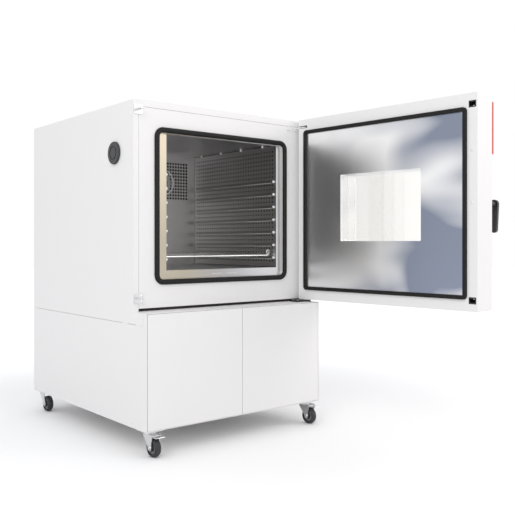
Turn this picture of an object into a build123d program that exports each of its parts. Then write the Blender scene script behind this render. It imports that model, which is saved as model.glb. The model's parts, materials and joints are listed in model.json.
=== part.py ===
from build123d import *
import math
import os

# A free-standing incubator cabinet on four castors, with its door swung open.
# All lengths are millimetres: X to the right, Y to the back, Z up.
# The origin is on the floor, under the middle of the cabinet's footprint.

# Cabinet
cabinet_width = 925.0
cabinet_height = 1418.7
casing_depth = 1000.0
base_depth = 1105.0
base_height = 461.4
castor_height = 104.0
sheet = 1.5
bend_radius = 4.0
seam_height = 412.7
seam_gap = 1.2
foot_stub = 27.0
fit = 0.3

# White frame round the cavity
flange_side = 24.0
flange_top = 27.0
frame_gap = 12.4
frame_return = 25.0

# Cavity
cavity_half = 300.0
cavity_floor_rise = 162.6
cavity_height = 572.0
cavity_depth = 683.0
opening_lip = 6.0
duct_width = 18.0
plenum_depth = 147.0
flange_recess = 12.0
flange_side_width = 42.0
flange_bottom_width = 38.5
flange_top_width = 7.0
flange_hem = 8.7
drain_slot_length = 60.0
drain_slot_height = 3.5
drain_slot_offset = 42.0
drain_slot_rise = 19.0
insulation_back = 73.0

# Cavity seal
seal_gap = 13.0
seal_width = 16.0
seal_corner = 38.0
seal_squeeze = 0.3

# Air panels, runners and shelf
air_sheet = 1.2
air_front = 30.0
air_back = 660.0
air_end_gap = 3.0
runner_count = 7
runner_first = 38.0
runner_step = 59.0
runner_height = 14.0
runner_depth = 12.0
runner_front = 32.0
runner_back = 652.0
shelf_rod = 8.0
shelf_wire = 3.6
shelf_wire_count = 17
shelf_bar_count = 3
shelf_side_gap = 3.0
shelf_front = 42.0
shelf_length = 590.0
shelf_corner = 16.0
shelf_weld = 0.4

# Fans behind the rear baffle
fan_spacing = 194.0
fan_rise = 428.0
fan_radius = 60.0
fan_depth = 34.0
fan_gap = 14.0
fan_blades = 8
fan_shaft_radius = 5.0
shaft_clearance = 0.05
ring_radius = 70.0
ring_width = 6.0
ring_height = 3.0
inlet_hole = 6.0
inlet_pitch = 19.0
motor_radius = 42.0
motor_length = 78.0
heater_tube = 8.5
heater_half = 210.0
heater_low = 90.0
heater_step = 42.0
heater_runs = 4
heater_from_baffle = 60.0

# Access port in the left wall
port_back = 151.5
port_height = 1214.7
port_bore = 40.0
port_wall = 3.0
port_collar = 47.0
port_lip = 2.0
plug_head = 8.0
plug_clearance = 0.1
plug_length = 120.0

# Base
base_steel = 2.5
base_post = 40.0
cover_split = 9.0
cover_gap = 2.4
cover_return = 25.0
cover_corner = 2.0
side_lip = 14.0
tray_depth = 35.0
ledge_lap = 20.0
grille_slots = 10
grille_slot_length = 260.0
grille_slot_height = 8.0
grille_pitch = 20.0

# Castors
castor_inset = 47.0
castor_side_inset = 42.5
castor_plate = 84.0
castor_plate_thickness = 3.5
castor_trail = 28.0
wheel_radius = 37.5
wheel_width = 30.0
wheel_bore = 4.0
fork_sheet = 3.0
fork_gap = 2.0
race_radius = 27.0
race_height = 10.0
kingpin_radius = 5.0
kingpin_nut = 8.0
brake_angle = 14.0

# Door
door_thickness = 116.0
door_bottom_gap = 10.6
door_rise = 3.0
door_open_angle = 95.0
door_edge_radius = 4.0
door_frame_sheet = 2.0
door_seal_width = 16.0
door_seal_height = 11.0
door_seal_hinge = 36.0
door_seal_free = 44.0
door_seal_top = 52.7
door_seal_bottom = 46.0
door_seal_corner = 14.0
window_width = 420.0
window_height = 298.0
window_corner = 5.0
window_wall = 8.0
window_rim = 12.0
window_rim_height = 2.0
pane_thickness = 5.0
pane_inset = 3.0

# Door hinge
hinge_in = 20.5
hinge_forward = 22.5
hinge_pin = 6.0
hinge_reach = 18.0
hinge_plate = 6.0
hinge_drop = 37.7
hinge_block = 30.0
hinge_slit = 12.0
hinge_slit_reach = 32.0
hinge_flange_width = 102.0
hinge_flange_height = 19.0
hinge_flange_thickness = 4.0
lower_plate = 8.0
lower_plate_width = 88.0

# Door latch: a pinion drives an upper and a lower rack rod
latch_in = 21.5
latch_end = 43.0
latch_box_width = 32.0
latch_box_height = 27.0
latch_box_depth = 36.0
latch_box_wall = 3.0
latch_mouth_height = 16.0
bolt_radius = 5.0
bolt_back = 14.0
bolt_clear = 1.5
tongue_thickness = 4.0
tongue_width = 20.0
tongue_reach = 38.0
catch_height = 39.0
catch_width = 40.0
catch_thickness = 3.0
gear_module = 2.0
gear_teeth = 12
gear_backlash = 0.54
gear_addendum = 1.6
gear_dedendum = 2.4
gear_face = 6.0
rack_bar = 4.5
handle_height = 998.5
handle_hub = 17.0
handle_tip = 12.0
handle_drop = 116.0
handle_proud = 68.0
handle_bar = 16.0
handle_neck = 11.0
spindle_radius = 6.0
rose_height = 6.0

# Fittings on the door's outer face
accent_low = 1192.0
accent_high = 1399.0
accent_width = 40.0
accent_proud = 12.0
panel_width = 230.0
panel_height = 120.0
panel_proud = 10.0
panel_rise = 88.0
screen_width = 150.0
screen_height = 92.0
screen_recess = 2.0
button_radius = 9.0
button_clearance = 0.4
button_proud = 3.0
button_travel = 2.5

# Places worked out from the sizes above
half = cabinet_width / 2
back = base_depth / 2
base_front = -base_depth / 2
front = back - casing_depth
casing_top = cabinet_height
ledge_top = castor_height + base_height
side_seam = castor_height + seam_height
foot_front = base_front + foot_stub
frame_half = half - flange_side - seam_gap
frame_low = ledge_top + frame_gap
frame_high = casing_top - flange_top - seam_gap
deck_top = ledge_top - sheet
cavity_floor = ledge_top + cavity_floor_rise
cavity_ceiling = cavity_floor + cavity_height
opening_top = cavity_ceiling - opening_lip
flange_y = front + flange_recess
baffle_y = front + cavity_depth
liner_back = baffle_y + plenum_depth
motor_y = liner_back + sheet + insulation_back
liner_half = cavity_half + duct_width
seal_half = cavity_half + flange_side_width
seal_low = cavity_floor - flange_bottom_width
seal_high = opening_top + flange_top_width
seal_inner_corner = seal_corner - seal_width
port_y = front + port_back
fan_z = cavity_floor + fan_rise
door_inner = front - seal_gap
door_outer = door_inner - door_thickness
door_low = ledge_top + door_bottom_gap
door_high = casing_top + door_rise
door_middle = (door_low + door_high) / 2
hinge_x = half - hinge_in
hinge_y = door_inner - hinge_forward
latch_x = -half + latch_in
bolt_y = door_inner - bolt_back
latch_heights = (door_low + latch_end, door_high - latch_end)
pitch_radius = gear_module * gear_teeth / 2
root_radius = pitch_radius - gear_dedendum
tip_radius = pitch_radius + gear_addendum
rack_inside = pitch_radius + gear_dedendum
rack_outside = rack_inside + rack_bar
latch_travel = pitch_radius * math.pi / 2
runner_x = cavity_half - runner_depth
shelf_half = cavity_half - shelf_side_gap
runner_bottoms = [cavity_floor + runner_first + i * runner_step for i in range(runner_count)]
shelf_z = runner_bottoms[0] + runner_height + shelf_rod / 2
castor_x = half - castor_side_inset
castor_ys = {"front": base_front + castor_inset, "rear": back - castor_inset}
fork_top = castor_height - castor_plate_thickness - race_height - fit
axle_z = wheel_radius
fork_half = wheel_width / 2 + fork_gap
hinge_axis = Axis((hinge_x, hinge_y, 0), (0, 0, 1))


def block(x, y, z):
    """A box from pairs of low and high values."""
    middle = Pos((x[0] + x[1]) / 2, (y[0] + y[1]) / 2, (z[0] + z[1]) / 2)
    return middle * Box(x[1] - x[0], y[1] - y[0], z[1] - z[0])


def rectangle(u, v, radius=0.0):
    """A rectangle in a sketch from pairs of low and high values, with rounded corners if asked."""
    width = u[1] - u[0]
    height = v[1] - v[0]
    face = RectangleRounded(width, height, radius) if radius else Rectangle(width, height)
    return Pos((u[0] + u[1]) / 2, (v[0] + v[1]) / 2) * face


def along_y(sketch, y):
    """Extrudes a sketch of X and Z from y[0] to y[1]."""
    plane = Plane((0, y[1], 0), x_dir=(1, 0, 0), z_dir=(0, -1, 0))
    return extrude(plane * sketch, amount=y[1] - y[0])


def along_x(sketch, x):
    """Extrudes a sketch of Y and Z from x[0] to x[1]."""
    plane = Plane((x[0], 0, 0), x_dir=(0, 1, 0), z_dir=(1, 0, 0))
    return extrude(plane * sketch, amount=x[1] - x[0])


def along_z(sketch, z):
    """Extrudes a sketch of X and Y from z[0] to z[1]."""
    return extrude(Pos(0, 0, z[0]) * sketch, amount=z[1] - z[0])


def rod_x(radius, x, y, z):
    """A round rod along X."""
    return along_x(Pos(y, z) * Circle(radius), x)


def rod_y(radius, x, y, z):
    """A round rod along Y."""
    return along_y(Pos(x, z) * Circle(radius), y)


def rod_z(radius, x, y, z):
    """A round rod along Z."""
    return along_z(Pos(x, y) * Circle(radius), z)


def polygon(*points):
    """A filled outline, its points put in counterclockwise order."""
    pairs = zip(points, points[1:] + points[:1])
    turn = sum(a[0] * b[1] - b[0] * a[1] for a, b in pairs)
    return Polygon(*(points if turn > 0 else reversed(points)), align=None)


def group(*solids):
    """Separate solids kept together in one node."""
    return Compound([piece for solid in solids for piece in solid.solids()])


def around(value):
    """A pair of low and high values the same way each side of the middle."""
    return (-value, value)


def grown(pair, by):
    """A pair of values moved apart by a distance."""
    return (pair[0] - by, pair[1] + by)


def shifted(pair, by):
    """A pair of values moved the same way."""
    return (pair[0] + by, pair[1] + by)


def outer_casing():
    """Folded sheet over both sides and the top, with a flange round the front."""
    round_top = rectangle(around(half), (side_seam - bend_radius, casing_top), bend_radius)
    outline = round_top & rectangle(around(half), (side_seam, casing_top))
    hollow = rectangle(around(half - sheet), (0, casing_top - sheet), bend_radius - sheet)
    shell = along_y(outline - hollow, (foot_front, back))
    shell -= block(around(half + 1), (foot_front - 1, front), (ledge_top, casing_top + 1))
    opening = rectangle(around(half - flange_side), (0, casing_top - flange_top))
    above = rectangle(around(half), (ledge_top, casing_top))
    shell += along_y((outline & above) - opening, (front, front + sheet))
    return shell - rod_x(port_bore + port_wall + fit, (-half - 1, 0), port_y, port_height)


def rear_panel():
    """Flat back sheet between the casing's sides."""
    inside = rectangle(around(half - sheet), (0, casing_top - sheet), bend_radius - sheet)
    inside &= rectangle(around(half), (side_seam, casing_top))
    return along_y(inside, (back - sheet, back))


def front_frame():
    """White tray-shaped frame round the cavity, folded back at its four edges."""
    outside = rectangle(around(frame_half), (frame_low, frame_high))
    inside = rectangle(around(frame_half - sheet), (frame_low + sheet, frame_high - sheet))
    tray = along_y(outside, (front, front + frame_return))
    tray -= along_y(inside, (front + sheet, front + frame_return + 1))
    hole = rectangle(
        around(seal_half + flange_hem + fit),
        (seal_low - flange_hem - fit, seal_high + flange_hem + fit),
        seal_inner_corner + flange_hem + fit,
    )
    return tray - along_y(hole, (front - 1, front + frame_return + 1))


def cabinet_insulation():
    """Foam block round the liner, closed at the back."""
    outside = rectangle(around(half - sheet), (0, casing_top - sheet), bend_radius - sheet)
    outside &= rectangle(around(half), (deck_top, casing_top))
    foam = along_y(outside, (front + frame_return, motor_y))
    foam -= block(
        around(liner_half + sheet),
        (front, liner_back + sheet),
        grown((cavity_floor, cavity_ceiling), sheet),
    )
    for x in fan_places():
        foam -= rod_y(fan_shaft_radius + 2, x, (liner_back, motor_y + 1), fan_z)
    return foam - rod_x(port_bore + port_wall + fit, (-half - 1, 0), port_y, port_height)


def inner_liner():
    """Stainless box with a front flange that folds forward to the white frame."""
    inside = (around(liner_half), (cavity_floor, cavity_ceiling))
    box = block(grown(inside[0], sheet), (flange_y, liner_back + sheet), grown(inside[1], sheet))
    box -= block(inside[0], (flange_y - 1, liner_back), inside[1])
    edge_x = around(seal_half + flange_hem)
    edge_z = (seal_low - flange_hem, seal_high + flange_hem)
    corner = seal_inner_corner + flange_hem
    plate = rectangle(edge_x, edge_z, corner)
    hem = plate - rectangle(grown(edge_x, -sheet), grown(edge_z, -sheet), corner - sheet)
    opening = rectangle(around(cavity_half), (cavity_floor, opening_top))
    box += along_y(plate - opening, (flange_y, flange_y + sheet))
    box += along_y(hem, (front, flange_y + sheet))
    for side in (-1, 1):
        slot = Pos(side * drain_slot_offset, cavity_floor - drain_slot_rise) * SlotOverall(drain_slot_length, drain_slot_height)
        box -= along_y(slot, (flange_y - 1, flange_y + sheet + 1))
    for x in fan_places():
        box -= rod_y(fan_shaft_radius + 2, x, (baffle_y, motor_y), fan_z)
    return box - rod_x(port_bore + port_wall + fit, (-half, 0), port_y, port_height)


def cavity_seal():
    """Round-backed silicone seal on the white frame, round the cavity."""
    x = around(seal_half)
    z = (seal_low, seal_high)
    outer = rectangle(grown(x, seal_width), grown(z, seal_width), seal_corner)
    ring = outer - rectangle(x, z, seal_inner_corner)
    solid = along_y(ring, (door_inner + seal_squeeze, front))
    crest = solid.faces().sort_by(Axis.Y)[0]
    return fillet(crest.edges(), seal_width * 0.42)


def air_panels():
    """Left and right air guide sheets, folded back to the liner at both ends."""
    solids = []
    for side in (-1, 1):
        face = sorted((side * cavity_half, side * (cavity_half + air_sheet)))
        far = sorted((side * cavity_half, side * liner_half))
        z = grown((cavity_floor, cavity_ceiling), -air_end_gap)
        panel = block(face, (front + air_front, front + air_back), z)
        panel += block(far, (front + air_front, front + air_front + air_sheet), z)
        panel += block(far, (front + air_back - air_sheet, front + air_back), z)
        if side < 0:
            panel -= rod_x(port_bore, (-half, 0), port_y, port_height)
        solids.append(panel)
    return group(*solids)


def shelf_runners():
    """Channel runners in facing pairs, open towards the air panels."""
    solids = []
    for low in runner_bottoms:
        for side in (-1, 1):
            x = sorted((side * runner_x, side * cavity_half))
            inner = sorted((side * (runner_x + air_sheet), side * cavity_half))
            z = (low, low + runner_height)
            y = (front + runner_front, front + runner_back)
            channel = block(x, y, z) - block(inner, grown(y, 1), grown(z, -air_sheet))
            nose = rod_x(runner_height / 2, x, y[0], low + runner_height / 2)
            solids.append(channel + nose)
    return group(*solids)


def wire_shelf():
    """Wire shelf: a round rod frame, cross bars below and thin wires from front to back."""
    rod = shelf_rod / 2
    x = around(shelf_half)
    y = (front + shelf_front, front + shelf_front + shelf_length)
    line_x = grown(x, -rod)
    line_y = grown(y, -rod)
    loop = rectangle(line_x, line_y, shelf_corner).wire()
    start = loop.position_at(0)
    section = Plane(start, z_dir=loop.tangent_at(0)) * Circle(rod)
    shelf = sweep(section, path=Pos(0, 0, 0) * loop)
    shelf = Pos(0, 0, shelf_z) * shelf
    wire = shelf_wire / 2
    bar_z = shelf_z - rod + wire
    for i in range(shelf_bar_count):
        place = line_y[0] + (line_y[1] - line_y[0]) * (i + 1) / (shelf_bar_count + 1)
        shelf += rod_x(wire, line_x, place, bar_z)
    wire_z = bar_z + shelf_wire - shelf_weld
    pitch = (line_x[1] - line_x[0]) / (shelf_wire_count + 1)
    for i in range(shelf_wire_count):
        shelf += rod_y(wire, line_x[0] + pitch * (i + 1), line_y, wire_z)
    return shelf


def fan_places():
    """The two fan centre lines."""
    return (-fan_spacing / 2, fan_spacing / 2)


def inlet_holes():
    """A hexagon of round holes for one fan inlet, as a sketch about its own centre."""
    rings = int((ring_radius - ring_width - inlet_hole) / inlet_pitch)
    places = []
    for row in range(-rings, rings + 1):
        for column in range(-rings, rings + 1):
            if abs(row + column) <= rings:
                places.append((inlet_pitch * (column + row / 2), inlet_pitch * row * math.sqrt(3) / 2))
    return [Pos(*place) * Circle(inlet_hole) for place in places]


def rear_baffle():
    """Rear air guide sheet with a field of holes for each fan."""
    x = around(liner_half)
    z = (cavity_floor, cavity_ceiling)
    sketch = rectangle(x, z)
    sheet_solid = along_y(sketch, (baffle_y, baffle_y + air_sheet))
    for side in (0, 1):
        edge = sorted((x[side], x[side] + (air_sheet, -air_sheet)[side]))
        sheet_solid += block(edge, (baffle_y, baffle_y + duct_width), z)
    for place in fan_places():
        holes = [Pos(place, fan_z) * hole for hole in inlet_holes()]
        sheet_solid -= along_y(Sketch() + holes, (baffle_y - 1, baffle_y + air_sheet + 1))
    return sheet_solid


def fan_inlet_rings():
    """Bright rings pressed on the rear baffle round the fan inlets."""
    solids = []
    for place in fan_places():
        ring = Circle(ring_radius) - Circle(ring_radius - ring_width)
        solids.append(along_y(Pos(place, fan_z) * ring, (baffle_y - ring_height, baffle_y)))
    return group(*solids)


def fan_wheel(place):
    """Radial fan wheel: back disc, blades, front ring, hub and drive shaft."""
    y = (baffle_y + fan_gap, baffle_y + fan_gap + fan_depth)
    disc = 2.0
    wheel = rod_y(fan_radius, 0, (y[1] - disc, y[1]), 0)
    wheel += rod_y(fan_radius * 0.3, 0, (y[0] + fan_depth / 2, y[1]), 0)
    eye = Circle(fan_radius) - Circle(fan_radius * 0.72)
    wheel += along_y(eye, (y[0], y[0] + disc))
    inner = fan_radius * 0.55
    for i in range(fan_blades):
        start = Vector(inner, 0)
        end = Vector(fan_radius - 1, 0).rotate(Axis.Z, -28)
        middle = (start + end) * 0.5 + Vector(0, 5)
        curve = ThreePointArc((start.X, start.Y), (middle.X, middle.Y), (end.X, end.Y))
        blade = along_y(Rot(0, 0, i * 360 / fan_blades) * trace(curve, 1.6), (y[0] + 0.5, y[1] - 0.5))
        wheel += blade
    wheel += rod_y(fan_shaft_radius, 0, (y[1] - disc, motor_y + motor_length / 2), 0)
    return Pos(place, 0, fan_z) * wheel


def fan_motors():
    """Two fan motors on the insulation's back, each bored for its shaft."""
    solids = []
    for place in fan_places():
        motor = rod_y(motor_radius, place, (motor_y, motor_y + motor_length), fan_z)
        motor = fillet(motor.faces().sort_by(Axis.Y)[-1].edges(), 5)
        foot = rectangle((place - 52, place + 52), (fan_z - 20, fan_z + 20), 6)
        motor += along_y(foot, (motor_y, motor_y + 3))
        bore = fan_shaft_radius + shaft_clearance
        solids.append(motor - rod_y(bore, place, (motor_y - 1, motor_y + motor_length / 2 + 2), fan_z))
    return group(*solids)


def heater_coil():
    """Tubular heater bent up and down behind the baffle, its ends on the liner's back."""
    tube = heater_tube / 2
    y = baffle_y + heater_from_baffle
    z = cavity_floor + heater_low
    left = -heater_half
    right = heater_half
    points = [(left, liner_back, z), (left, y, z)]
    for i in range(heater_runs):
        level = z + i * heater_step
        ends = (left, right) if i % 2 == 0 else (right, left)
        if i:
            points.append((ends[0], y, level))
        points.append((ends[1], y, level))
    last = points[-1]
    points.append((last[0], liner_back, last[2]))
    path = FilletPolyline(*points, radius=heater_step * 0.45)
    section = Plane(path @ 0, z_dir=path % 0) * Circle(tube)
    return sweep(section, path=path)


def port_sleeve():
    """Plastic tube through the left wall, with a collar outside."""
    x = (-half - port_lip, -cavity_half - air_sheet)
    tube = rod_x(port_bore + port_wall, x, port_y, port_height)
    tube += rod_x(port_collar, (x[0], -half), port_y, port_height)
    return tube - rod_x(port_bore, grown(x, 1), port_y, port_height)


def port_plug():
    """Dark silicone plug with a domed head, pulled straight out by hand."""
    head_x = -half - port_lip
    head = rod_x(port_collar, (head_x - plug_head, head_x - plug_clearance), port_y, port_height)
    head = fillet(head.faces().sort_by(Axis.X)[0].edges(), plug_head * 0.45)
    grip = rod_x(port_collar * 0.62, (head_x - plug_head - 1, head_x - plug_head + 2.5), port_y, port_height)
    head -= grip - rod_x(port_collar * 0.5, (head_x - plug_head - 2, head_x), port_y, port_height)
    body_x = (head_x - 1, head_x + plug_length)
    body = rod_x(port_bore - plug_clearance, body_x, port_y, port_height)
    body = chamfer(body.faces().sort_by(Axis.X)[-1].edges(), 4)
    return head + body


def base_frame():
    """Welded base: a tray below, four posts and a deck that carries the cabinet."""
    side = half - sheet
    y = (base_front + cover_return, back - sheet)
    tray = block(around(side), y, (castor_height, castor_height + tray_depth))
    inside = block(
        around(side - base_steel),
        grown(y, -base_steel),
        (castor_height + base_steel, castor_height + tray_depth + 1),
    )
    frame = tray - inside
    post_z = (castor_height, deck_top - base_steel)
    for sign in (-1, 1):
        x = sorted((sign * side, sign * (side - base_post)))
        hollow_x = (x[0] + base_steel, x[1] - base_steel)
        for post_y in ((y[0], y[0] + base_post), (y[1] - base_post, y[1])):
            post = block(x, post_y, post_z)
            frame += post - block(hollow_x, grown(post_y, -base_steel), grown(post_z, -base_steel))
    frame += block(around(side), (base_front + sheet, y[0] + 1), (castor_height, castor_height + base_steel))
    return frame + block(around(side), y, (deck_top - base_steel, deck_top))


def base_side(sign):
    """Base side panel with a stub that reaches up the front corner and a folded lower edge."""
    x = sorted((sign * half, sign * (half - sheet)))
    main = rectangle((base_front, back), (castor_height, side_seam - seam_gap))
    stub = rectangle((base_front, foot_front - seam_gap), (castor_height, ledge_top))
    panel = along_x(main + stub, x)
    lip_x = sorted((sign * half, sign * (half - side_lip)))
    clear = castor_plate / 2 + fit
    lip_y = (castor_ys["front"] + clear, castor_ys["rear"] - clear)
    return panel + block(lip_x, lip_y, (castor_height - sheet, castor_height))


def base_front_cover(x):
    """Tray-shaped front cover, folded back to the base's posts."""
    z = (castor_height + base_steel + cover_gap / 2, ledge_top - sheet - cover_gap / 2)
    y = (base_front, base_front + cover_return)
    cover = along_y(rectangle(x, z, cover_corner), y)
    hollow = rectangle(grown(x, -sheet), grown(z, -sheet))
    return cover - along_y(hollow, (y[0] + sheet, y[1] + 1))


def base_ledge():
    """Flat ledge in front of the cabinet, above the covers and under the door."""
    return block(around(half - sheet), (base_front, front + ledge_lap), (deck_top, ledge_top))


def base_rear_grille():
    """Lower back sheet with two columns of cooling slots."""
    z = (castor_height, side_seam - seam_gap)
    sketch = rectangle(around(half - sheet), z)
    middle = (z[0] + z[1]) / 2
    for row in range(grille_slots):
        level = middle + (row - (grille_slots - 1) / 2) * grille_pitch
        for column in (-1, 1):
            place = column * grille_slot_length * 0.65
            sketch -= Pos(place, level) * SlotOverall(grille_slot_length, grille_slot_height)
    return along_y(sketch, (back - sheet, back))


def control_box():
    """Electronics housing standing in the base tray, with a folded lid edge."""
    z = castor_height + base_steel
    box = block((90, 370), (back - 330, back - 130), (z, z + 230))
    box = fillet(box.edges().filter_by(Axis.Z), 6)
    return box + block((84, 376), (back - 336, back - 124), (z + 180, z + 186))


def gas_valve():
    """Gas inlet valve in the base, its coil above and its nipple through the back sheet."""
    x = -280.0
    z = castor_height + 60.0
    y = back - sheet
    body = block((x - 18, x + 18), (y - 60, y - fit), (z - 18, z + 18))
    coil = rod_z(16, x, y - 35, (z + 18, z + 62))
    foot = block((x - 12, x + 12), (y - 50, y - 10), (castor_height + base_steel, z - 18))
    nipple = rod_y(4, x, (y - 1, back + 16), z)
    for step in (3, 8, 13):
        cone = Pos(x, back + step, z) * Rot(90, 0, 0) * Cone(5.2, 4, 4)
        nipple += cone
    return body + coil + foot + nipple


def mains_inlet():
    """Cable gland for the mains lead in the lower back sheet."""
    x = 300.0
    z = castor_height + 50.0
    nut = along_y(Pos(x, z) * RegularPolygon(15, 6), (back, back + 7))
    dome = rod_y(11, x, (back + 7, back + 20), z)
    dome = fillet(dome.faces().sort_by(Axis.Y)[-1].edges(), 4)
    thread = rod_y(9.7, x, (back - sheet - 12, back), z)
    locknut = along_y(Pos(x, z) * RegularPolygon(14, 6), (back - sheet - 6, back - sheet))
    return nut + dome + thread + locknut - rod_y(4.5, x, (back - 40, back + 30), z)


def pierce_back(sheet_solid):
    """Cuts the holes for the gas nipple and the cable gland in the lower back sheet."""
    sheet_solid -= rod_y(4 + fit, -280.0, (back - 10, back + 10), castor_height + 60.0)
    return sheet_solid - rod_y(9.7, 300.0, (back - 10, back + 10), castor_height + 50.0)


def cover_screws():
    """Countersunk screws along the lower edge of both base sides."""
    solids = []
    for sign in (-1, 1):
        for place in (-430, -160, 150, 185):
            head_x = sorted((sign * (half + 0.6), sign * (half - sheet - 8)))
            shank = rod_x(1.6, head_x, place, castor_height + 16)
            head = rod_x(3.4, sorted((sign * (half + 0.9), sign * half)), place, castor_height + 16)
            solids.append(head + shank)
    return group(*solids)


def pierce_side(panel, sign):
    """Cuts the screw holes in a base side and in the frame behind it."""
    for place in (-430, -160, 150, 185):
        panel -= rod_x(1.6, sorted((sign * (half + 5), sign * (half - 30))), place, castor_height + 16)
    return panel


def castor_plates():
    """Top plates of the four castors, each with its swivel race and kingpin."""
    solids = []
    for sign in (-1, 1):
        for y in castor_ys.values():
            x = sign * castor_x
            top = castor_height
            low = top - castor_plate_thickness
            reach = castor_plate / 2
            plate = rectangle((x - reach, x + reach), (y - reach, y + reach), 8)
            solid = along_z(plate, (low, top))
            solid += rod_z(race_radius, x, y, (low - race_height, low))
            crown_low = fork_top - fork_sheet
            solid += rod_z(kingpin_radius, x, y, (crown_low - fit - 3, low))
            solid += rod_z(kingpin_nut, x, y, (crown_low - fit - 4, crown_low - fit))
            for dx in (-30, 30):
                for dy in (-30, 30):
                    solid -= rod_z(4.2, x + dx, y + dy, (low - 1, top + 1))
            solids.append(solid)
    return group(*solids)


def castor_fork(x, y, braked):
    """Pressed swivel fork with tapered legs and its axle bolt, trailing towards the front."""
    axle_y = -castor_trail
    crown = rod_z(race_radius, 0, 0, (fork_top - fork_sheet, fork_top))
    ear = 46.0 if braked else 30.0
    bridge = rectangle(around(fork_half + fork_sheet), (-ear + 16, 20), 4)
    crown += along_z(bridge, (fork_top - fork_sheet, fork_top))
    crown -= rod_z(kingpin_radius + shaft_clearance, 0, 0, (fork_top - fork_sheet - 1, fork_top + 1))
    leg = polygon(
        (20, fork_top),
        (20, fork_top - 9),
        (axle_y + 11, axle_z),
        (axle_y - 11, axle_z),
        (-ear + 4, fork_top - 18),
        (-ear, fork_top),
    )
    leg += Pos(axle_y, axle_z) * Circle(11)
    solid = crown
    for sign in (-1, 1):
        solid += along_x(leg, sorted((sign * fork_half, sign * (fork_half + fork_sheet))))
    solid -= rod_x(wheel_bore, around(fork_half + 9), axle_y, axle_z)
    if braked:
        solid -= rod_x(3.1, around(fork_half + 9), -ear + 9, fork_top - 8)
    reach = fork_half + fork_sheet
    bolt = rod_x(wheel_bore, around(reach + 4), axle_y, axle_z)
    for sign in (-1, 1):
        cap = sorted((sign * reach, sign * (reach + 4)))
        bolt += along_x(Pos(axle_y, axle_z) * RegularPolygon(7.5, 6), cap)
    return Pos(x, y, 0) * group(solid, bolt)


def castor_wheel(x, y):
    """Black wheel with a crowned tread, a recessed web and a hub bored for its axle."""
    w = wheel_width / 2
    hub = wheel_bore + shaft_clearance
    profile = Polyline(
        (hub, -w),
        (12, -w),
        (14, -w + 7),
        (wheel_radius - 11, -w + 7),
        (wheel_radius - 9, -w + 1),
        (wheel_radius - 5, -w + 1),
    )
    shoulder = ThreePointArc(
        (wheel_radius - 5, -w + 1), (wheel_radius - 1.2, -w * 0.62), (wheel_radius, 0)
    )
    lower = profile + shoulder
    upper = mirror(lower, Plane.XZ)
    closing = Line((hub, -w), (hub, w))
    face = make_face(lower + upper + closing)
    wheel = revolve(face, Axis.Y)
    return Pos(x, y - castor_trail, axle_z) * Rot(0, 0, 90) * wheel


def brake_pedal(x, y):
    """Pressed brake pedal with a toe board, hinged in the fork above the wheel's front."""
    pivot_y = -37.0
    pivot_z = fork_top - 8
    width = fork_half - 1.0
    side = polygon(
        (pivot_y + 6, pivot_z + 1.5),
        (pivot_y - 30, pivot_z + 1.5),
        (pivot_y - 46, pivot_z + 6),
        (pivot_y - 47, pivot_z + 3.2),
        (pivot_y - 31, pivot_z - 1.6),
        (pivot_y + 6, pivot_z - 1.6),
    )
    plate = along_x(side, around(width))
    boss = rod_x(5, around(width), pivot_y, pivot_z)
    pin = rod_x(3, around(fork_half + fork_sheet + 1.5), pivot_y, pivot_z)
    return Pos(x, y, 0) * (plate + boss + pin)


def swing(shape):
    """Turns a piece of the closed door to its open place."""
    return shape.rotate(hinge_axis, door_open_angle)


def slit_z():
    """Levels of the slit that the upper hinge plate turns in."""
    top = door_high - hinge_drop + hinge_plate + (hinge_slit - hinge_plate) / 2
    return (top - hinge_slit, top)


def hinge_slit_space():
    """Space left free in the door for the upper hinge plate."""
    x = (hinge_x - hinge_slit_reach, half + 1)
    return block(x, (hinge_y - hinge_slit_reach, door_inner + 1), slit_z())


def door_shell():
    """Folded outer door skin, open on the cavity side, with holes for window and spindle."""
    outline = rectangle(around(half), (door_low, door_high), door_edge_radius)
    solid = along_y(outline, (door_outer, door_inner))
    solid = fillet(solid.faces().sort_by(Axis.Y)[0].edges(), door_edge_radius - 0.5)
    inside = rectangle(around(half - sheet), (door_low + sheet, door_high - sheet), door_edge_radius - sheet)
    solid -= along_y(inside, (door_outer + sheet, door_inner + 1))
    solid -= along_y(window_outline(window_wall), (door_outer - 1, door_outer + sheet + 1))
    solid -= rod_y(spindle_radius + 1, latch_x, (door_outer - 1, door_outer + 5), handle_height)
    solid -= rod_z(hinge_pin + 1, hinge_x, hinge_y, (door_low - 1, door_low + 5))
    return swing(solid - hinge_slit_space())


def window_outline(grow):
    """The window's rounded rectangle, grown on every side."""
    x = around(window_width / 2 + grow)
    z = (door_middle - window_height / 2 - grow, door_middle + window_height / 2 + grow)
    return rectangle(x, z, window_corner + grow)


def seal_line(grow):
    """The door seal's inner outline, grown on every side."""
    width = door_seal_width - grow
    x = (-half + door_seal_free + width, half - door_seal_hinge - width)
    z = (door_low + door_seal_bottom + width, door_high - door_seal_top - width)
    return rectangle(x, z, door_seal_corner - width + 2)


def latch_boxes_outline():
    """Outlines of the two latch boxes on the door's cavity side."""
    x = (latch_x - latch_box_width / 2, latch_x + latch_box_width / 2)
    return [rectangle(x, (z - latch_box_height / 2, z + latch_box_height / 2)) for z in latch_heights]


def door_inner_frame():
    """White frame round the door's cavity side, under the outer half of the seal."""
    edge = sheet
    outline = rectangle(around(half - edge), (door_low + edge, door_high - edge), door_edge_radius - sheet)
    sketch = outline - seal_line(door_seal_width / 2)
    solid = along_y(sketch, (door_inner - door_frame_sheet, door_inner))
    for box in latch_boxes_outline():
        solid -= along_y(box, (door_inner - 10, door_inner + 1))
    return swing(solid - hinge_slit_space())


def door_inner_panel():
    """Stainless sheet facing the cavity, with the window cut out."""
    sketch = seal_line(door_seal_width / 2 - fit) - window_outline(0)
    return swing(along_y(sketch, (door_inner - sheet, door_inner)))


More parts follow.
